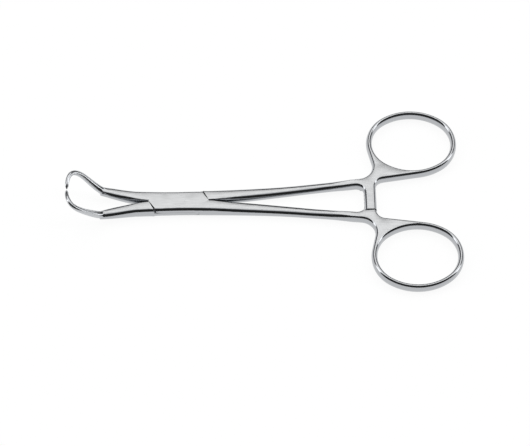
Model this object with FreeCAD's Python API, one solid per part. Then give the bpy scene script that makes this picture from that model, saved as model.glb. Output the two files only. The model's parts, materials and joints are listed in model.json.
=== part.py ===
import FreeCAD, Part
import math
import os

# Towel clamp with finger rings, a box-lock joint, a ratchet and two pointed prongs.
# Lengths are millimetres. The pivot axis is Z through the origin, the underside of the
# box lock is Z = 0, the finger rings lie towards +X and the jaws towards -X.
# Both arms leave the forge as mirror images about the XZ plane; the lock makes them differ.

# Box lock
LOCK_THICKNESS = 4.6
LOCK_WAIST_WIDTH = 8.1
LOCK_FLARE = 0.0022            # growth of the half width with the square of X
LOCK_HALF_LENGTH = 10.1        # from the pivot to each crotch
SHOULDER_SETBACK = 2.3         # how far the shoulder leans in from crotch to side
SLOT_HEIGHT = 1.55
SLOT_WALL_SETBACK = 3.4        # how far the slot wall leans in from crotch to side
LOCK_CLEARANCE = 0.05          # between the tang and the slot, each side
SHOULDER_CLEARANCE = 0.10
CROTCH_GAP = 0.06              # from the middle plane to each arm, where they meet the lock

# Rivet, ground flush with the lock on both faces
RIVET_RADIUS = 1.6
RIVET_HEAD_RADIUS = 2.1
RIVET_HEAD_DEPTH = 0.45
RIVET_SEAT_CLEARANCE = 0.01
RIVET_RUNNING_CLEARANCE = 0.04

# Cross-sections: flat ground faces above and below, and sides that bulge in one arc
SIDE_BULGE = 1.0               # how far a side runs out past the edge of the flat face
MID_Z = LOCK_THICKNESS / 2
TINY = 1e-6
CUT_MARGIN = 1.0               # how far a cutting solid runs past what it cuts

# Shanks, as stations of X, inner edge, outer edge, thickness and bulge of the inner side
CROTCH_BULGE = 0.15
SHANK_STATIONS = (
    (12.0, 0.08, 4.32, 4.50, 0.25),
    (14.5, 0.12, 4.43, 4.26, 0.50),
    (18.0, 0.24, 4.58, 3.95, 0.80),
    (23.4, 0.66, 4.83, 3.65, 1.00),
    (28.8, 1.24, 5.09, 3.45, 1.00),
    (34.2, 1.88, 5.42, 3.30, 1.00),
    (39.6, 2.53, 5.85, 3.22, 1.00),
    (45.0, 3.20, 6.38, 3.20, 1.00),
    (52.0, 4.02, 7.05, 3.45, 0.90),
)
NECK_START_X = 58.5
NECK_START_Y = 6.24
NECK_START_WIDTH = 3.07
SHANK_LEAN_DEG = 6.45          # lean of the shank where the neck begins

# Jaws, as stations of distance from the pivot, inner edge, outer edge, thickness and rise
JAW_STATIONS = (
    (12.2, 0.08, 4.34, 4.55, 0.03),
    (14.5, 0.27, 4.45, 4.42, 0.12),
    (17.0, 0.72, 4.78, 4.08, 0.27),
    (19.5, 1.26, 5.18, 3.70, 0.46),
    (22.0, 1.92, 5.60, 3.37, 0.72),
    (24.2, 2.55, 5.90, 3.08, 0.92),
)
KNEE_X = -26.2
KNEE_INNER = 3.16
KNEE_OUTER = 6.15
KNEE_THICKNESS = 2.85
KNEE_RISE = 1.15
KNEE_BULGE = 0.9
KNEE_LEAN_DEG = 20

# Prongs: places on the centre line, from inside the knee round to the point
PRONG_LINE = (
    (-25.0, 4.45, 3.1),
    (-28.15, 5.48, 5.65),
    (-30.25, 6.22, 8.05),
    (-32.15, 6.78, 10.3),
    (-33.95, 6.80, 12.1),
    (-35.45, 6.05, 13.3),
    (-36.45, 4.40, 13.75),
    (-37.0, 2.20, 13.4),
    (-37.1, 0.15, 12.6),
)
PRONG_ROOT_DIAMETER = 2.65
PRONG_END_DIAMETER = 1.15      # where the even taper would end, before the point is ground
PRONG_TIP_DIAMETER = 0.16
PRONG_POINT_POWER = 40         # how late the prong runs out to its point
PRONG_SECTIONS = 24

# Finger rings: an oval hole of four arcs with an even wire round it. The ring and the bar
# follow the place where the neck begins.
RING_NEAR_X = NECK_START_X + 5.75     # outer edge nearest the pivot
RING_NEAR_Y = 9.1                     # outer edge nearest the middle
RING_HOLE_HALF_LENGTH = 13.45
RING_HOLE_HALF_WIDTH = 10.9
RING_END_SHARE = 0.895         # radius of the two end arcs, as a share of the half width
RING_WIRE = 2.05
RING_TILT_DEG = -1.4
RING_HEIGHT = 4.0
RING_BULGE = 0.65

# Neck between shank, ring and ratchet bar
NECK_HOLLOW_RADIUS = 5.0       # hollow between the shank's outer edge and the ring
NECK_HOLLOW_SETBACK = 3.3      # from the ring's near edge back to the centre of the hollow
NECK_BEND_RADIUS = 3.0         # bend between the ratchet bar and the ring
NECK_BEND_Y = 4.44
CROTCH_RADIUS = 2.6

# Ratchet bars
BAR_INNER_X = NECK_START_X + 4.2      # side nearer the pivot
BAR_WIDTH = 4.2
BAR_REACH = 4.3                # how far the free end passes the middle
BAR_GAP = 0.10                 # between the crests of the two racks
TOOTH_PITCH = 1.5
TOOTH_DEPTH = 0.5
TOOTH_COUNT = 4
BAR_END_CLEARANCE = 0.45       # from a free end to the root of the other bar


def vec(x, y, z):
    return FreeCAD.Vector(x, y, z)


def line_edge(start, end):
    return Part.LineSegment(start, end).toShape()


def barrel_section(centre, side, up, width, height, near_bulge, far_bulge):
    """Closed wire with a flat top and bottom, and sides that bulge in one arc each.

    The far side lies along the side direction from the centre, the near side against it.
    """
    near = centre - side * (width / 2)
    far = centre + side * (width / 2)
    rise = up * (height / 2)
    near_flat = near + side * near_bulge
    far_flat = far - side * far_bulge
    edges = [
        Part.Arc(far_flat + rise, far, far_flat - rise).toShape(),
        line_edge(far_flat - rise, near_flat - rise),
        Part.Arc(near_flat - rise, near, near_flat + rise).toShape(),
        line_edge(near_flat + rise, far_flat + rise),
    ]
    return Part.Wire(edges)


def upright_section(x, inner, outer, thickness, rise=0.0, inner_bulge=SIDE_BULGE):
    """Barrel section in a plane of constant X, between two edges of the outline."""
    centre = vec(x, (inner + outer) / 2, MID_Z + rise)
    return barrel_section(centre, vec(0, 1, 0), vec(0, 0, 1), outer - inner, thickness,
                          inner_bulge, SIDE_BULGE)


def lock_half_width(x):
    """The lock is waisted: narrowest at the pivot, wider towards the crotches."""
    return LOCK_WAIST_WIDTH / 2 + LOCK_FLARE * x * x


def prism(points, low, high):
    """Upright prism on a polygon of (x, y) corners."""
    corners = [vec(x, y, low) for x, y in points]
    return Part.Face(Part.makePolygon(corners + corners[:1])).extrude(vec(0, 0, high - low))


def mirrored(shape):
    return shape.mirror(vec(0, 0, 0), vec(0, 1, 0))


def turned(points):
    """The same outline turned half a turn about the pivot."""
    return [(-x, -y) for x, y in points]


def heading(angle_deg):
    """Level unit vector at an angle anticlockwise from +X."""
    return vec(math.cos(math.radians(angle_deg)), math.sin(math.radians(angle_deg)), 0)


def side_edge(place, inward):
    """Arc from top to bottom of a handle's side, widest at the place at mid height."""
    rise = vec(0, 0, RING_HEIGHT / 2)
    flat_end = place + inward * RING_BULGE
    return Part.Arc(flat_end + rise, place, flat_end - rise).toShape()


def round_side(centre, radius, start_deg, end_deg, inward):
    """Side face round part of a circle; inward is -1 with the metal inside it, else 1."""
    out = heading(start_deg)
    edge = side_edge(centre + out * radius, out * inward)
    return edge.revolve(centre, vec(0, 0, 1), end_deg - start_deg)


def straight_side(start, end):
    """Side face along a line, with the metal on the left of the way from start to end."""
    along = (end - start).normalize()
    return side_edge(start, vec(-along.y, along.x, 0)).extrude(end - start)


def crossing_touch_deg(centre, radius, other, other_radius, turn):
    """Where a line that crosses between two circles touches the first, as an angle on it."""
    apart = other - centre
    opening = math.degrees(math.acos((radius + other_radius) / apart.Length))
    return math.degrees(math.atan2(apart.y, apart.x)) + turn * opening


def ring_arcs():
    """The four arcs of the finger hole: right end, far side, left end and near side.

    Each is its centre, its radius and its first and last angle, anticlockwise. The
    side radius follows from the two half sizes and the radius of the ends.
    """
    half_x, half_y = RING_HOLE_HALF_LENGTH, RING_HOLE_HALF_WIDTH
    end = RING_END_SHARE * half_y
    side = (half_x ** 2 + half_y ** 2 - 2 * half_x * end) / (2 * (half_y - end))
    join = math.degrees(math.atan2(side - half_y, half_x - end))
    centre = vec(RING_NEAR_X + RING_WIRE + half_x, RING_NEAR_Y + RING_WIRE + half_y, MID_Z)
    arcs = []
    for middle, reach, radius, spread in ((0, half_x - end, end, join),
                                          (90, half_y - side, side, 90 - join),
                                          (180, half_x - end, end, join),
                                          (270, half_y - side, side, 90 - join)):
        middle += RING_TILT_DEG
        arcs.append((centre + heading(middle) * reach, radius, middle - spread, middle + spread))
    return arcs


def outer_sides():
    """Side faces of the ring, neck and bar, anticlockwise from the ring to its start."""
    right, far, left, near = [(centre, radius + RING_WIRE, first, last)
                              for centre, radius, first, last in ring_arcs()]
    along = heading(SHANK_LEAN_DEG)
    across = heading(SHANK_LEAN_DEG + 90)
    start = vec(NECK_START_X, NECK_START_Y, MID_Z)
    shank_outer = start + across * (NECK_START_WIDTH / 2)
    shank_inner = start - across * (NECK_START_WIDTH / 2)

    # The hollow touches the shank's outer edge, and a line runs from it on to the ring
    hollow_x = RING_NEAR_X - NECK_HOLLOW_SETBACK
    hollow_foot = shank_outer + across * NECK_HOLLOW_RADIUS
    hollow = hollow_foot + along * ((hollow_x - hollow_foot.x) / along.x)
    leave = crossing_touch_deg(left[0], left[1], hollow, NECK_HOLLOW_RADIUS, -1) % 360
    shank_touch = hollow - across * NECK_HOLLOW_RADIUS

    # The crotch of shank and bar is an arc that touches both
    crotch_x = BAR_INNER_X - CROTCH_RADIUS
    crotch_foot = shank_inner - across * CROTCH_RADIUS
    crotch = crotch_foot + along * ((crotch_x - crotch_foot.x) / along.x)

    bar_outer_x = BAR_INNER_X + BAR_WIDTH
    bend = vec(bar_outer_x + NECK_BEND_RADIUS, NECK_BEND_Y, MID_Z)
    arrive = crossing_touch_deg(near[0], near[1], bend, NECK_BEND_RADIUS, 1) % 360
    return [
        round_side(near[0], near[1], arrive, near[3], -1),
        round_side(*right, -1),
        round_side(*far, -1),
        round_side(left[0], left[1], left[2], leave, -1),
        straight_side(left[0] + heading(leave) * left[1],
                      hollow - heading(leave) * NECK_HOLLOW_RADIUS),
        round_side(hollow, NECK_HOLLOW_RADIUS, leave - 180, SHANK_LEAN_DEG - 90, 1),
        straight_side(shank_touch, shank_outer),
        straight_side(shank_inner, crotch + across * CROTCH_RADIUS),
        round_side(crotch, CROTCH_RADIUS, SHANK_LEAN_DEG + 90, 0, 1),
        straight_side(vec(BAR_INNER_X, crotch.y, MID_Z), vec(BAR_INNER_X, -BAR_REACH, MID_Z)),
        straight_side(vec(bar_outer_x, -BAR_REACH, MID_Z), vec(bar_outer_x, NECK_BEND_Y, MID_Z)),
        round_side(bend, NECK_BEND_RADIUS, 180, arrive - 180, 1),
        straight_side(bend - heading(arrive) * NECK_BEND_RADIUS,
                      near[0] + heading(arrive) * near[1]),
    ]


def level_edges(shapes, height):
    """The edges of faces or wires that lie level at a height."""
    found = []
    for shape in shapes:
        for edge in shape.Edges:
            box = edge.BoundBox
            if abs(box.ZMin - height) < TINY and abs(box.ZMax - height) < TINY:
                found.append(edge)
    return found


def handle_end(x, y, direction, width):
    """Section at a cut end of the handle."""
    return barrel_section(vec(x, y, MID_Z), direction, vec(0, 0, 1), width, RING_HEIGHT,
                          RING_BULGE, RING_BULGE)


def neck_start():
    return handle_end(NECK_START_X, NECK_START_Y, heading(SHANK_LEAN_DEG + 90),
                      NECK_START_WIDTH)


def rounded_handle():
    """Finger ring, neck and ratchet bar: side faces closed by flat faces and two cut ends."""
    outer = outer_sides()
    hole = [round_side(*arc, 1) for arc in ring_arcs()]
    bar_middle = BAR_INNER_X + BAR_WIDTH / 2
    ends = [neck_start(), handle_end(bar_middle, -BAR_REACH, vec(1, 0, 0), BAR_WIDTH)]
    faces = outer + hole + [Part.Face(end) for end in ends]
    for height in (MID_Z - RING_HEIGHT / 2, MID_Z + RING_HEIGHT / 2):
        rim = Part.Wire(Part.__sortEdges__(level_edges(outer + ends, height)))
        hole_rim = Part.Wire(Part.__sortEdges__(level_edges(hole, height)))
        faces.append(Part.makeFace([rim, hole_rim], "Part::FaceMakerBullseye"))
    shell = Part.Shell(faces)
    shell.sewShape()
    solid = Part.Solid(shell)
    if solid.Volume < 0:
        solid.reverse()
    return solid


def rack_cutter():
    """Everything under the toothed underside of the upper ratchet bar.

    The profile runs across the instrument: a level crest plane with saw teeth, whose
    steep faces look away from the bar's free end and hold the clamp shut.
    """
    crest = MID_Z + BAR_GAP / 2
    root = crest + TOOTH_DEPTH
    first = -TOOTH_COUNT * TOOTH_PITCH / 2
    profile = [(-BAR_REACH - CUT_MARGIN, crest), (first, crest)]
    for tooth in range(TOOTH_COUNT):
        profile.append((first + tooth * TOOTH_PITCH, root))
        profile.append((first + (tooth + 1) * TOOTH_PITCH, crest))
    end = BAR_REACH + BAR_END_CLEARANCE
    profile += [(end, crest), (end, -CUT_MARGIN), (-BAR_REACH - CUT_MARGIN, -CUT_MARGIN)]
    near_x = BAR_INNER_X - CROTCH_RADIUS - CUT_MARGIN
    far_x = BAR_INNER_X + BAR_WIDTH + NECK_BEND_RADIUS
    corners = [vec(near_x, y, z) for y, z in profile]
    return Part.Face(Part.makePolygon(corners + corners[:1])).extrude(vec(far_x - near_x, 0, 0))


def shank():
    """Handle arm from the lock's crotch plane to the neck, on the +Y side."""
    x = LOCK_HALF_LENGTH
    sections = [upright_section(x, CROTCH_GAP, lock_half_width(x), LOCK_THICKNESS,
                                inner_bulge=CROTCH_BULGE)]
    sections += [upright_section(reach, inner, outer, thickness, inner_bulge=bulge)
                 for reach, inner, outer, thickness, bulge in SHANK_STATIONS]
    sections.append(neck_start())
    return Part.makeLoft(sections, True, True)


def handle():
    """Shank, ring and toothed ratchet bar of the through arm, on the +Y side."""
    return shank().fuse(rounded_handle().cut(rack_cutter()))


def knee_section():
    """End of the ground jaw face, where the prong bends up."""
    centre = vec(KNEE_X, (KNEE_INNER + KNEE_OUTER) / 2, MID_Z + KNEE_RISE)
    lean = vec(math.sin(math.radians(KNEE_LEAN_DEG)), 0, math.cos(math.radians(KNEE_LEAN_DEG)))
    return barrel_section(centre, vec(0, 1, 0), lean, KNEE_OUTER - KNEE_INNER, KNEE_THICKNESS,
                          KNEE_BULGE, KNEE_BULGE)


def jaw():
    """Jaw from the lock's crotch plane to the knee, on the +Y side."""
    x = LOCK_HALF_LENGTH
    sections = [upright_section(-x, CROTCH_GAP, lock_half_width(x), LOCK_THICKNESS)]
    sections += [upright_section(-reach, inner, outer, thickness, rise)
                 for reach, inner, outer, thickness, rise in JAW_STATIONS]
    sections.append(knee_section())
    return Part.makeLoft(sections, True, True)


def ring_section(centre, side, up, radius):
    """Round wire square to the prong, in two half circles."""
    east, north = centre + side * radius, centre + up * radius
    west, south = centre - side * radius, centre - up * radius
    return Part.Wire([Part.Arc(east, north, west).toShape(), Part.Arc(west, south, east).toShape()])


def prong():
    """Prong of the +Y jaw, from inside the knee up and round to its point.

    Round sections stand evenly along the centre line. The side direction is carried on
    from one to the next, so that the skin doesn't twist.
    """
    line = Part.BSplineCurve()
    line.interpolate([vec(*place) for place in PRONG_LINE])
    length = line.length()
    side = vec(0, 1, 0)
    sections = []
    for i in range(PRONG_SECTIONS):
        share = i / (PRONG_SECTIONS - 1)
        at = line.parameterAtDistance(share * length * (1 - TINY), line.FirstParameter)
        centre, tangent = line.value(at), line.tangent(at)[0]
        side = (side - tangent * side.dot(tangent)).normalize()
        taper = PRONG_ROOT_DIAMETER + (PRONG_END_DIAMETER - PRONG_ROOT_DIAMETER) * share
        diameter = max(taper * math.sqrt(1 - share ** PRONG_POINT_POWER), PRONG_TIP_DIAMETER)
        sections.append(ring_section(centre, side, side.cross(tangent), diameter / 2))
    return Part.makeLoft(sections, True, True)


def jaw_with_prong():
    return jaw().fuse(prong())


def lock_blank():
    """Waisted bar between the two crotch planes, at the full width of both arms."""
    sections = []
    for step in (-1, -0.5, 0, 0.5, 1):
        x = step * LOCK_HALF_LENGTH
        half = lock_half_width(x)
        sections.append(upright_section(x, -half, half, LOCK_THICKNESS))
    return Part.makeLoft(sections, True, True)


def slot_outline():
    """Plan of the slot through the box arm: two leaning walls, open where the tang leaves."""
    half = lock_half_width(LOCK_HALF_LENGTH)
    beyond = half + CUT_MARGIN
    run = SLOT_WALL_SETBACK * beyond / half
    quarter = [(-LOCK_HALF_LENGTH - beyond, 0), (-LOCK_HALF_LENGTH, 0),
               (-LOCK_HALF_LENGTH + run, beyond), (LOCK_HALF_LENGTH + beyond, beyond)]
    return quarter + turned(quarter)


def shoulder_outline(clearance):
    """Plan of what lies beyond the near-side shoulder of the jaws, at -X and -Y."""
    half = lock_half_width(LOCK_HALF_LENGTH)
    beyond = half + CUT_MARGIN
    run = SHOULDER_SETBACK * beyond / half
    x = -LOCK_HALF_LENGTH - clearance
    return [(x, 0), (x + run, -beyond), (x - beyond, -beyond), (x - beyond, 0)]


def slot_prism(inset):
    """The slot as a solid, made smaller all round by the inset."""
    low = MID_Z - SLOT_HEIGHT / 2 + inset
    corners = [vec(x, y, low) for x, y in slot_outline()]
    outline = Part.makePolygon(corners + corners[:1])
    if inset:
        outline = outline.makeOffset2D(-inset, 2)
    return Part.Face(outline).extrude(vec(0, 0, SLOT_HEIGHT - 2 * inset))


def rivet(clearance):
    """Pivot rivet with a flared head at each face, grown by a clearance on its sides."""
    radius = RIVET_RADIUS + clearance
    head = RIVET_HEAD_RADIUS + clearance
    profile = [vec(0, 0, 0), vec(head, 0, 0), vec(radius, 0, RIVET_HEAD_DEPTH),
               vec(radius, 0, LOCK_THICKNESS - RIVET_HEAD_DEPTH), vec(head, 0, LOCK_THICKNESS),
               vec(0, 0, LOCK_THICKNESS)]
    face = Part.Face(Part.makePolygon(profile + profile[:1]))
    return face.revolve(vec(0, 0, 0), vec(0, 0, 1), 360)


def box_arm():
    """Arm with the box of the lock: its jaw is on the +Y side, its ring on the -Y side."""
    low, high = -CUT_MARGIN, LOCK_THICKNESS + CUT_MARGIN
    lock = lock_blank()
    lock = lock.cut(prism(shoulder_outline(0), low, high))
    lock = lock.cut(prism(turned(shoulder_outline(0)), low, high))
    lock = lock.cut(slot_prism(0)).cut(rivet(RIVET_SEAT_CLEARANCE))
    lower_handle = handle()
    lower_handle.rotate(vec(0, 0, MID_Z), vec(1, 0, 0), 180)
    return lock.fuse([jaw_with_prong(), lower_handle])


def through_arm():
    """Arm with the tang that passes through the box: jaw on the -Y side, ring on the +Y side."""
    low, high = -CUT_MARGIN, LOCK_THICKNESS + CUT_MARGIN
    blank = lock_blank()
    tang = blank.common(slot_prism(LOCK_CLEARANCE))
    bore = Part.makeCylinder(RIVET_RADIUS + RIVET_RUNNING_CLEARANCE, LOCK_THICKNESS)
    near = blank.common(prism(shoulder_outline(SHOULDER_CLEARANCE), low, high))
    far = blank.common(prism(turned(shoulder_outline(SHOULDER_CLEARANCE)), low, high))
    return tang.cut(bore).fuse([near, far, mirrored(jaw_with_prong()), handle()])


if __name__ == "__main__":
    os.makedirs("parts", exist_ok=True)
    pieces = {
        "box_arm": box_arm(),
        "through_arm": through_arm(),
        "pivot_rivet": rivet(0),
    }
    for name, shape in pieces.items():
        print(name, shape.isValid(), len(shape.Solids), round(shape.Volume, 2), len(shape.Faces))
        shape.Solids[0].exportStep("parts/%s.step" % name)
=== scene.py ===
"""Dresses a closed steel towel clamp and sets the camera, the floor and the studio light."""

import json
import logging
import math
from dataclasses import dataclass
from enum import Enum
from typing import Any

import bmesh
import bpy
import numpy as np
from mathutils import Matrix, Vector

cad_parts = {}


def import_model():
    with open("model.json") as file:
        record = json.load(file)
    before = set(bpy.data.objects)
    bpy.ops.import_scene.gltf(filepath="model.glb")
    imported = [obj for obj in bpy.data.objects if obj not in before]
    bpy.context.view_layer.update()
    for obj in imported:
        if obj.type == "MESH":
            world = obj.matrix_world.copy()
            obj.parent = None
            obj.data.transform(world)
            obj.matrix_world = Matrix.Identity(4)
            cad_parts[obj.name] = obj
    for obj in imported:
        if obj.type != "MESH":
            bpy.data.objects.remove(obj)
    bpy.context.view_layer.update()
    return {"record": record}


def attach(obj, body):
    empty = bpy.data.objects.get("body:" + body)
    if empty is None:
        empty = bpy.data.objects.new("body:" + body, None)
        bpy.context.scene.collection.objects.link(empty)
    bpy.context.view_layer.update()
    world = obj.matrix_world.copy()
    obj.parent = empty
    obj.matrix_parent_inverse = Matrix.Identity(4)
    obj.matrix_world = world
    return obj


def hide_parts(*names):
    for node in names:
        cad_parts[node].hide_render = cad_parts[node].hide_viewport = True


LOG = logging.getLogger("towel_clamp")
MM = 0.001
RIVET_NODE = "pivot_rivet"
WHITE = (1, 1, 1, 1)

# How the leaning shoulders of the lock are told from its other faces
SHOULDERS_MM = (7.0, 13.0)    # their nearest and farthest distance from the pivot along X
SHOULDER_LEAN = 0.6           # least share of a shoulder's normal along X
UPRIGHT = 0.2                 # a normal with a smaller share along Z is an upright face's

# A smooth step of the light: the angle that it reads, where it starts and ends in degrees,
# and its level before and after
Step = tuple[str, float, float, float, float]


class Finish(Enum):
    """Which finish a face of a steel piece gets, with the number of its material slot."""

    GROUND = 0
    POLISHED = 1
    FILED = 2
    # painted shade: darker steel on the faces in the lock's seams, crotch and slot
    DULL = 3


def linear(colour: str, alpha: float = 1.0) -> tuple[float, float, float, float]:
    """Turns an sRGB hex colour into linear light.

    Args:
        colour: Six hex digits after a hash mark.
        alpha: Opacity to add at the end.

    Returns:
        Linear red, green, blue and the opacity.
    """
    values = [int(colour[place:place + 2], 16) / 255 for place in (1, 3, 5)]
    curve = [v / 12.92 if v <= 0.04045 else ((v + 0.055) / 1.055) ** 2.4 for v in values]
    return (*curve, alpha)


def add_node(tree: bpy.types.NodeTree, kind: str, links: dict[Any, Any] | None = None,
             **settings: Any) -> bpy.types.Node:
    """Adds one shader node, sets it up and links its inputs.

    Args:
        tree: Node tree to add to.
        kind: Blender's name of the node's class.
        links: Input socket name or number to an output socket, or to a plain value.
        settings: Properties of the node itself.

    Returns:
        The new node.
    """
    node = tree.nodes.new(kind)
    for name, value in settings.items():
        setattr(node, name, value)
    for name, source in (links or {}).items():
        if isinstance(source, bpy.types.NodeSocket):
            tree.links.new(source, node.inputs[name])
        else:
            node.inputs[name].default_value = source
    return node


def blank_tree(owner: Any) -> bpy.types.NodeTree:
    """Switches a material or world to nodes and empties its tree.

    Args:
        owner: Material or world.

    Returns:
        The empty node tree.
    """
    owner.use_nodes = True
    owner.node_tree.nodes.clear()
    return owner.node_tree


@dataclass(frozen=True)
class SatinSteel:
    """Martensitic stainless steel, belt ground and glass-bead matted on its flat faces.

    It gives the eye a soft pale grey with a fine grain along the tool and no sharp reflection.
    Real grinding marks are much finer than this grain, which is as coarse as it needs to be
    to show.
    """

    name: str = "satin_ground_stainless_steel"
    colour: str = "#D2D3D4"
    roughness: float = 0.42
    smoother: float = 0.05        # how far the roughness falls and rises with the grain
    rougher: float = 0.07
    grain_mm: float = 0.35
    grain_stretch: float = 14.0
    grain_detail: float = 3.0
    grain_roughness: float = 0.6
    grain_levels: tuple[float, float] = (0.3, 0.7)
    grain_depth_mm: float = 0.006
    bump_strength: float = 0.35

    def build(self) -> bpy.types.Material:
        """Makes the material.

        Returns:
            The satin steel.
        """
        material = bpy.data.materials.new(self.name)
        tree = blank_tree(material)
        place = add_node(tree, "ShaderNodeTexCoord").outputs["Object"]
        per_metre = 1 / (self.grain_mm * MM)
        stretched = add_node(tree, "ShaderNodeMapping", {
            "Vector": place, "Scale": (per_metre / self.grain_stretch, per_metre, per_metre)})
        grain = add_node(tree, "ShaderNodeTexNoise", {
            "Vector": stretched.outputs["Vector"], "Scale": 1.0,
            "Detail": self.grain_detail, "Roughness": self.grain_roughness})
        low, high = self.grain_levels
        rough = add_node(tree, "ShaderNodeMapRange", {
            "Value": grain.outputs["Fac"], "From Min": low, "From Max": high,
            "To Min": self.roughness - self.smoother, "To Max": self.roughness + self.rougher})
        bump = add_node(tree, "ShaderNodeBump", {
            "Height": grain.outputs["Fac"], "Strength": self.bump_strength,
            "Distance": self.grain_depth_mm * MM})
        shader = add_node(tree, "ShaderNodeBsdfPrincipled", {
            "Base Color": linear(self.colour), "Metallic": 1.0,
            "Roughness": rough.outputs["Result"], "Normal": bump.outputs["Normal"]})
        add_node(tree, "ShaderNodeOutputMaterial", {"Surface": shader.outputs["BSDF"]})
        return material


@dataclass(frozen=True)
class PolishedSteel:
    """The same steel, buffed bright on its rounded sides.

    It gives the eye hard black and white bands along the sides, as a mirror does.
    """

    name: str = "buffed_stainless_steel"
    colour: str = "#B4B6B9"
    roughness: float = 0.10
    ripple_mm: float = 2.2
    ripple_detail: float = 1.0
    ripple_depth_mm: float = 0.01
    bump_strength: float = 0.3

    def build(self) -> bpy.types.Material:
        """Makes the material.

        Returns:
            The polished steel.
        """
        material = bpy.data.materials.new(self.name)
        tree = blank_tree(material)
        place = add_node(tree, "ShaderNodeTexCoord").outputs["Object"]
        ripple = add_node(tree, "ShaderNodeTexNoise", {
            "Vector": place, "Scale": 1 / (self.ripple_mm * MM), "Detail": self.ripple_detail})
        bump = add_node(tree, "ShaderNodeBump", {
            "Height": ripple.outputs["Fac"], "Strength": self.bump_strength,
            "Distance": self.ripple_depth_mm * MM})
        shader = add_node(tree, "ShaderNodeBsdfPrincipled", {
            "Base Color": linear(self.colour), "Metallic": 1.0, "Roughness": self.roughness,
            "Normal": bump.outputs["Normal"]})
        add_node(tree, "ShaderNodeOutputMaterial", {"Surface": shader.outputs["BSDF"]})
        return material


@dataclass(frozen=True)
class FiledSteel(PolishedSteel):
    """The same steel on the prongs, filed to a taper and lightly buffed.

    It gives the eye soft grey streaks along the prongs instead of hard bands.
    """

    name: str = "filed_stainless_steel"
    colour: str = "#C4C6C9"
    roughness: float = 0.24


@dataclass(frozen=True)
class SeamShadeSteel(PolishedSteel):
    """The same steel inside the lock, left unbuffed and given a darker colour as painted
    shade.

    The darker colour paints in the shade that falls in the lock's seams, on its shoulders,
    crotch planes and the level faces in its slot, so that the seams show dark.
    """

    name: str = "painted_seam_shade_steel"
    colour: str = "#77787B"
    roughness: float = 0.45


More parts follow.
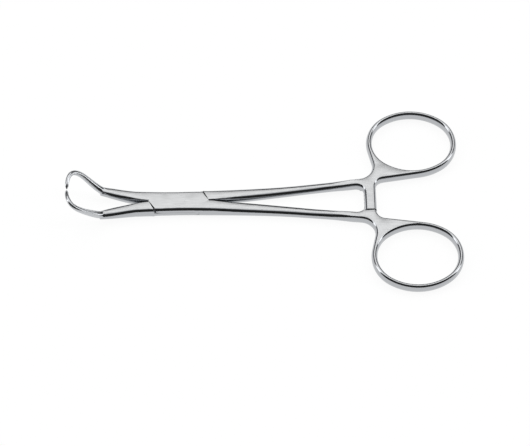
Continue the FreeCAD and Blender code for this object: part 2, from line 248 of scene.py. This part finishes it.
@dataclass
class BuffedSides:
    """The rounded sides of both arms, and the half ellipses that buffing leaves on them.

    The solids have sides that bulge in one circular arc. Buffing wears such a side fuller at
    mid height and rounder towards the ground faces. Each row of the sizes is a place along
    the tool, its thickness, its rise, and the bulge of its inner and outer side.
    """

    rows_mm: tuple[tuple[float, float, float, float, float], ...] = (
        (-26.2, 2.85, 1.15, 0.90, 0.90),
        (-24.2, 3.08, 0.92, 1.00, 1.00),
        (-22.0, 3.37, 0.72, 1.00, 1.00),
        (-19.5, 3.70, 0.46, 1.00, 1.00),
        (-17.0, 4.08, 0.27, 1.00, 1.00),
        (-14.5, 4.42, 0.12, 1.00, 1.00),
        (-12.2, 4.55, 0.03, 1.00, 1.00),
        (-10.1, 4.60, 0.00, 1.00, 1.00),
        (10.0, 4.60, 0.00, 1.00, 1.00),
        (10.1, 4.60, 0.00, 0.15, 1.00),
        (12.0, 4.50, 0.00, 0.25, 1.00),
        (14.5, 4.26, 0.00, 0.50, 1.00),
        (18.0, 3.95, 0.00, 0.80, 1.00),
        (23.4, 3.65, 0.00, 1.00, 1.00),
        (28.8, 3.45, 0.00, 1.00, 1.00),
        (34.2, 3.30, 0.00, 1.00, 1.00),
        (39.6, 3.22, 0.00, 1.00, 1.00),
        (45.0, 3.20, 0.00, 1.00, 1.00),
        (52.0, 3.45, 0.00, 0.90, 1.00),
        (58.5, 4.00, 0.00, 0.65, 0.65),
    )
    mid_mm: float = 2.3           # mid height of the lock

    # Which faces are rounded sides
    knee_mm: float = -25.2        # the jaws' sides end here, before the prongs
    neck_mm: float = 58.6         # the shanks end here and the handles begin
    side_lean: float = 0.45       # greatest share along X of such a side's normal
    lock_end_mm: float = 10.095   # just short of the crotch planes
    rivet_mm: float = 3.0         # in the lock, nothing nearer to the middle is a side
    bar_mm: tuple[float, float] = (60.3, 67.4)    # the ratchet bars, along X
    bar_reach_mm: float = 4.8                     # and to each side of the middle
    bar_lean: float = 0.3         # least share along X of the normal of a bar's side

    # The ellipse, with its depth as a share of the side's bulge
    ellipse_share: float = 1.5
    ring_share: float = 1.72      # on the handles
    root_share: float = 0.42      # in the crotch between the jaws, growing to the common share
    jaw_root_mm: tuple[float, float] = (10.1, 18.0)    # over these distances from the pivot
    height_share: float = 0.985   # how much of its half height is used, short of its level end
    cuts: int = 2                 # how often the upright edges of a side are halved
    row_mm: float = 0.16          # an edge that rises less than this isn't halved again

    # Lean of a flat face's shading normal at its rims
    crown: float = 0.2
    lock_crown: float = 0.13      # at the lock, growing to the common lean
    crown_mm: tuple[float, float] = (9.0, 16.0)        # over these distances from the pivot

    # Seams of the lock
    gap_mm: float = 0.28          # how far the shoulders are drawn back
    slot_gap_mm: float = 0.06     # how far they are at the height of the slot
    slot_half_mm: float = 0.85    # half of that height
    root_mm: float = 0.5          # nothing nearer to the middle is drawn back
    square: float = 0.95          # a normal with a greater share along X is a crotch plane's

    def is_side(self, face: bmesh.types.BMFace, flattest: float) -> bool:
        """Tells a rounded side from ground faces, shoulders, slot, rivet seat and ratchet.

        Args:
            face: Face of an arm, with its normal up to date.
            flattest: Share of the normal along Z from which on a face counts as level.

        Returns:
            True for a face of a rounded side.
        """
        centre, normal = face.calc_center_median() / MM, face.normal
        if abs(normal.z) > flattest or centre.x < self.knee_mm:
            return False
        if centre.x < self.neck_mm:
            in_lock = abs(centre.x) < self.lock_end_mm and abs(centre.y) < self.rivet_mm
            return abs(normal.x) < self.side_lean and not in_lock
        near, far = self.bar_mm
        on_bar = near < centre.x < far and abs(centre.y) < self.bar_reach_mm
        return not on_bar or abs(normal.x) > self.bar_lean

    def outward(self, sides: set[bmesh.types.BMFace]) -> dict[bmesh.types.BMVert, Vector]:
        """Finds the level outward direction at each vertex of the rounded sides.

        Args:
            sides: Faces of the rounded sides.

        Returns:
            Vertices with their unit directions.
        """
        found = {}
        for vert in {vert for face in sides for vert in face.verts}:
            total = Vector((0, 0, 0))
            for face in vert.link_faces:
                if face in sides:
                    level = Vector((face.normal.x, face.normal.y, 0)).normalized()
                    total += level * face.calc_area()
            if total.length > 0:
                found[vert] = total.normalized()
        return found

    def insets(self, vert: bmesh.types.BMVert, out: Vector) -> tuple[float, float]:
        """Works out how far a place on a side lies behind the side's widest line.

        The arc is r - sqrt(r^2 - z^2), where r follows from half height h and bulge. The
        ellipse is a (1 - sqrt(1 - (q z / h)^2)), with a its depth and q its height share.

        Args:
            vert: Vertex on the side.
            out: Level outward direction there.

        Returns:
            Inset of the solid's arc and of the buffed ellipse, in metres.
        """
        x, y, z = vert.co / MM
        table = np.array(self.rows_mm)
        thickness, rise, inner, outer = (np.interp(x, table[:, 0], table[:, column])
                                         for column in (1, 2, 3, 4))
        half = thickness / 2
        bulge = outer if out.y * y > 0 else inner
        up = min(abs(z - self.mid_mm - rise), half)
        radius = (half ** 2 + bulge ** 2) / (2 * bulge)
        arc = radius - math.sqrt(radius ** 2 - up ** 2)
        share = self.ring_share if x > self.neck_mm else self.ellipse_share
        if x < 0 and out.y * y < 0:
            share = np.interp(-x, self.jaw_root_mm, (self.root_share, share))
        wide = bulge * share
        ellipse = wide * (1 - math.sqrt(1 - (self.height_share * up / half) ** 2))
        return arc * MM, ellipse * MM

    def open_gaps(self, work: bmesh.types.BMesh) -> None:
        """Draws the shoulders of the lock back a little, so that their seams show dark.

        Args:
            work: Mesh of an arm.
        """
        low, high = SHOULDERS_MM
        moves = {}
        for face in work.faces:
            lean = abs(face.normal.x)
            upright = abs(face.normal.z) < UPRIGHT and SHOULDER_LEAN < lean < self.square
            centre = face.calc_center_median() / MM
            if not upright or not low < abs(centre.x) < high:
                continue
            outside = abs(centre.z - self.mid_mm) > self.slot_half_mm
            gap = self.gap_mm if outside else self.slot_gap_mm
            level = Vector((face.normal.x, face.normal.y, 0)).normalized()
            for vert in face.verts:
                if abs(vert.co.y / MM) > self.root_mm and (outside or vert not in moves):
                    moves[vert] = -level * gap * MM
        for vert, move in moves.items():
            vert.co += move

    def crowned_rims(self, work: bmesh.types.BMesh, sides: set[bmesh.types.BMFace],
                     flattest: float) -> dict[int, Vector]:
        """Leans the normals of the flat faces outward where they meet the sides.

        Args:
            work: Mesh of an arm, with its normals up to date.
            sides: Faces of the rounded sides.
            flattest: Share of the normal along Z from which on a face counts as level.

        Returns:
            Rim vertices by number, with the normal of the slightly crowned face there.
        """
        work.verts.index_update()
        crowned = {}
        for vert, out in self.outward(sides).items():
            level = [face.normal for face in vert.link_faces
                     if abs(face.normal.z) > flattest and face not in sides]
            if level:
                away = float(np.interp(abs(vert.co.x / MM), self.crown_mm, (0.0, 1.0)))
                lean = self.lock_crown + (self.crown - self.lock_crown) * away
                crowned[vert.index] = (level[0] + out * lean).normalized()
        return crowned

    def buff(self, work: bmesh.types.BMesh, flattest: float) -> dict[int, Vector]:
        """Buffs the sides: straightens them, divides them into finer rows, rounds them again.

        Args:
            work: Mesh of an arm.
            flattest: Share of the normal along Z from which on a face counts as level.

        Returns:
            Rim vertices by number, with the normal of the slightly crowned face there.
        """
        self.open_gaps(work)
        mark = work.faces.layers.int.new("side")
        sides = {face for face in work.faces if self.is_side(face, flattest)}
        for face in sides:
            face[mark] = 1
        for vert, out in self.outward(sides).items():
            vert.co += out * self.insets(vert, out)[0]
        for _ in range(self.cuts):
            steep = [edge for edge in work.edges
                     if any(face[mark] for face in edge.link_faces)
                     and abs(edge.verts[0].co.z - edge.verts[1].co.z) > self.row_mm * MM]
            bmesh.ops.subdivide_edges(work, edges=steep, cuts=1, use_grid_fill=True)
        work.normal_update()
        sides = {face for face in work.faces if face[mark]}
        for vert, out in self.outward(sides).items():
            vert.co -= out * self.insets(vert, out)[1]
        work.normal_update()
        return self.crowned_rims(work, sides, flattest)


@dataclass
class SteelPiece:
    """One steel piece of the clamp: a buffed copy of its solid, with a finish on each face."""

    node: str
    body: str
    level_limit_deg: float = 14.0    # a face that slopes less counts as level
    crease_deg: float = 40.0         # an edge that turns more stays sharp
    merge_mm: float = 0.002
    rim_turn: float = 0.7            # least cosine between a face and a crowned normal on it
    prongs_mm: float = -26.4         # the prongs begin here
    slot_mm: tuple[float, float] = (1.0, 3.6)    # heights at which a level face is hidden in the slot and gets painted shade

    @property
    def flattest(self) -> float:
        """Gives the share of a normal along Z from which on a face counts as level.

        Returns:
            The cosine of the limit.
        """
        return math.cos(math.radians(self.level_limit_deg))

    def set_normals(self, mesh: bpy.types.Mesh, crowned: dict[int, Vector]) -> None:
        """Gives the level faces their own normals, crowned at the rims.

        Args:
            mesh: Mesh of the piece, shaded smooth.
            crowned: Rim vertices by number, with their normals.
        """
        normals = [Vector((0, 0, 0))] * len(mesh.loops)
        for polygon in mesh.polygons:
            for loop in polygon.loop_indices:
                normal = crowned.get(mesh.loops[loop].vertex_index)
                if normal is not None and polygon.normal.dot(normal) > self.rim_turn:
                    normals[loop] = normal
                elif abs(polygon.normal.z) > self.flattest:
                    normals[loop] = polygon.normal.copy()
        mesh.normals_split_custom_set(normals)

    def smooth_copy(self) -> bpy.types.Object:
        """Copies the solid's mesh, welds its loose triangles, buffs it and smooths it.

        Returns:
            The new object, at the origin.
        """
        mesh = bpy.data.objects[self.node].data.copy()
        mesh.materials.clear()
        work = bmesh.new()
        work.from_mesh(mesh)
        bmesh.ops.remove_doubles(work, verts=work.verts, dist=self.merge_mm * MM)
        bmesh.ops.recalc_face_normals(work, faces=work.faces)
        crowned = {}
        if self.node != RIVET_NODE:
            crowned = BuffedSides().buff(work, self.flattest)
        crease = math.radians(self.crease_deg)
        for face in work.faces:
            face.smooth = True
        for edge in work.edges:
            edge.smooth = edge.calc_face_angle(0.0) < crease
        work.to_mesh(mesh)
        work.free()
        self.set_normals(mesh, crowned)
        piece = bpy.data.objects.new(f"{self.node}_steel", mesh)
        bpy.context.scene.collection.objects.link(piece)
        return piece

    def finish_of(self, centre: Vector, normal: Vector) -> Finish:
        """Chooses the finish of one face by its place and its slope.

        Args:
            centre: Middle of the face.
            normal: Unit normal of the face.

        Returns:
            The finish.
        """
        x, z = centre.x / MM, centre.z / MM
        low, high = SHOULDERS_MM
        if x < self.prongs_mm:
            return Finish.FILED
        if abs(normal.z) > self.flattest:
            # a level face hidden in the slot of the lock gets painted shade
            hidden = abs(x) < high and self.slot_mm[0] < z < self.slot_mm[1]
            return Finish.DULL if hidden else Finish.GROUND
        # the shoulder walls and crotch planes of the lock get painted shade
        leaning = abs(normal.x) > SHOULDER_LEAN and abs(normal.z) < UPRIGHT
        return Finish.DULL if leaning and low < abs(x) < high else Finish.POLISHED

    def dress(self, piece: bpy.types.Object,
              finishes: dict[Finish, bpy.types.Material]) -> None:
        """Gives every face its finish.

        Args:
            piece: The object to dress.
            finishes: Material of each finish.
        """
        for finish in Finish:
            piece.data.materials.append(finishes[finish])
        for polygon in piece.data.polygons:
            polygon.material_index = self.finish_of(polygon.center, polygon.normal).value

    def build(self, finishes: dict[Finish, bpy.types.Material]) -> None:
        """Makes the piece, dresses it and lets it ride on its body.

        Args:
            finishes: Material of each finish.
        """
        piece = self.smooth_copy()
        self.dress(piece, finishes)
        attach(piece, self.body)
        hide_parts(self.node)
        LOG.info("%s: %d faces", piece.name, len(piece.data.polygons))


@dataclass
class Studio:
    """White table, soft light all round, and the dark wall behind the camera."""

    floor_size: float = 40.0
    floor_colour: str = "#F7F7F7"
    floor_glow: float = 1.075
    floor_share: float = 0.85        # how much of the floor glows where it is seen directly

    # Each part of the light is the product of two steps. The turn is measured from the
    # front, which is -Y, and the height from the level of the table.
    dark_steps: tuple[Step, Step] = (
        ("turn", 74, 79, 1.0, 0.0), ("height", 64, 88, 1.0, 0.0))
    window_steps: tuple[Step, Step] = (
        ("turn", 92, 100, 1.0, 0.0), ("height", 55, 68, 1.0, 0.0))
    back_steps: tuple[Step, Step] = (
        ("height", 30, 54, 0.10, 1.45), ("height", 60, 86, 1.0, 0.72))
    dark_level: float = 0.03
    window_level: float = 2.2

    def floor(self) -> None:
        """Lays the white table under the clamp."""
        half = self.floor_size / 2
        mesh = bpy.data.meshes.new("floor")
        corners = [(-half, -half, 0), (half, -half, 0), (half, half, 0), (-half, half, 0)]
        mesh.from_pydata(corners, [], [(0, 1, 2, 3)])
        floor = bpy.data.objects.new("floor", mesh)
        bpy.context.scene.collection.objects.link(floor)
        material = bpy.data.materials.new("white_table")
        tree = blank_tree(material)
        path = add_node(tree, "ShaderNodeLightPath")
        seen = path.outputs["Is Camera Ray"]
        for ray in ("Is Glossy Ray", "Is Transmission Ray"):
            seen = add_node(tree, "ShaderNodeMath", {0: seen, 1: path.outputs[ray]},
                            operation="ADD").outputs[0]
        share = add_node(tree, "ShaderNodeMath", {0: seen, 1: self.floor_share},
                         operation="MULTIPLY", use_clamp=True)
        matt = add_node(tree, "ShaderNodeBsdfDiffuse", {"Color": linear(self.floor_colour)})
        glow = add_node(tree, "ShaderNodeEmission", {
            "Color": WHITE, "Strength": self.floor_glow})
        both = add_node(tree, "ShaderNodeMixShader", {
            0: share.outputs[0], 1: matt.outputs[0], 2: glow.outputs[0]})
        add_node(tree, "ShaderNodeOutputMaterial", {"Surface": both.outputs[0]})
        mesh.materials.append(material)

    def light(self) -> None:
        """Sets the soft light round the table, by direction.

        A dark wall stands in front, bright windows stand to both sides, and the back is dim
        low down, brightest half way up and a little dimmer overhead.
        """
        world = bpy.data.worlds.new("studio")
        bpy.context.scene.world = world
        tree = blank_tree(world)
        direction = add_node(tree, "ShaderNodeTexCoord").outputs["Generated"]
        parts = add_node(tree, "ShaderNodeSeparateXYZ", {0: direction})
        front = add_node(tree, "ShaderNodeMath", {0: parts.outputs["Y"], 1: -1.0},
                         operation="MULTIPLY")
        azimuth = add_node(tree, "ShaderNodeMath", {
            0: parts.outputs["X"], 1: front.outputs[0]}, operation="ARCTAN2")
        turn = add_node(tree, "ShaderNodeMath", {0: azimuth.outputs[0]}, operation="ABSOLUTE")
        height = add_node(tree, "ShaderNodeMath", {0: parts.outputs["Z"]}, operation="ARCSINE")
        angles = {"turn": turn.outputs[0], "height": height.outputs[0]}
        areas = []
        for steps in (self.dark_steps, self.window_steps, self.back_steps):
            ramps = [add_node(tree, "ShaderNodeMapRange", {
                "Value": angles[angle], "From Min": math.radians(start),
                "From Max": math.radians(end), "To Min": before, "To Max": after},
                interpolation_type="SMOOTHSTEP") for angle, start, end, before, after in steps]
            area = add_node(tree, "ShaderNodeMath", {
                0: ramps[0].outputs[0], 1: ramps[1].outputs[0]}, operation="MULTIPLY")
            areas.append(area.outputs[0])
        dark, window, back = areas
        lit = add_node(tree, "ShaderNodeMix", {
            "Factor": window, "A": back, "B": self.window_level})
        level = add_node(tree, "ShaderNodeMix", {
            "Factor": dark, "A": lit.outputs[0], "B": self.dark_level})
        glow = add_node(tree, "ShaderNodeBackground", {
            "Color": WHITE, "Strength": level.outputs[0]})
        add_node(tree, "ShaderNodeOutputWorld", {"Surface": glow.outputs[0]})


@dataclass
class Viewpoint:
    """The photograph's camera: a long lens that looks down on the table."""

    place_mm: tuple[float, float, float] = (21.85, -380.87, 648.06)
    target_mm: tuple[float, float, float] = (29.03, -6.79, 0.0)
    lens_mm: float = 150.45
    sensor_mm: float = 36.0
    nearest: float = 0.01
    farthest: float = 100.0

    def build(self) -> None:
        """Makes the camera and turns it to its target."""
        data = bpy.data.cameras.new("camera")
        data.lens = self.lens_mm
        data.sensor_width = self.sensor_mm
        data.clip_start = self.nearest
        data.clip_end = self.farthest
        camera = bpy.data.objects.new("camera", data)
        bpy.context.scene.collection.objects.link(camera)
        place, target = Vector(self.place_mm) * MM, Vector(self.target_mm) * MM
        camera.location = place
        camera.rotation_euler = (target - place).to_track_quat("-Z", "Y").to_euler()
        bpy.context.scene.camera = camera


def main() -> None:
    """Builds the scene in order."""
    logging.basicConfig(level=logging.INFO, format="%(name)s: %(message)s")
    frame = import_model()
    bodies = frame["record"]["behaviour"]["bodies"]
    finishes = {Finish.GROUND: SatinSteel().build(), Finish.POLISHED: PolishedSteel().build(),
                Finish.FILED: FiledSteel().build(), Finish.DULL: SeamShadeSteel().build()}
    for body, nodes in bodies.items():
        for node in nodes:
            SteelPiece(node, body).build(finishes)
    studio = Studio()
    studio.floor()
    studio.light()
    Viewpoint().build()
    bpy.context.scene.view_settings.view_transform = "Standard"


if __name__ == "__main__":
    main()
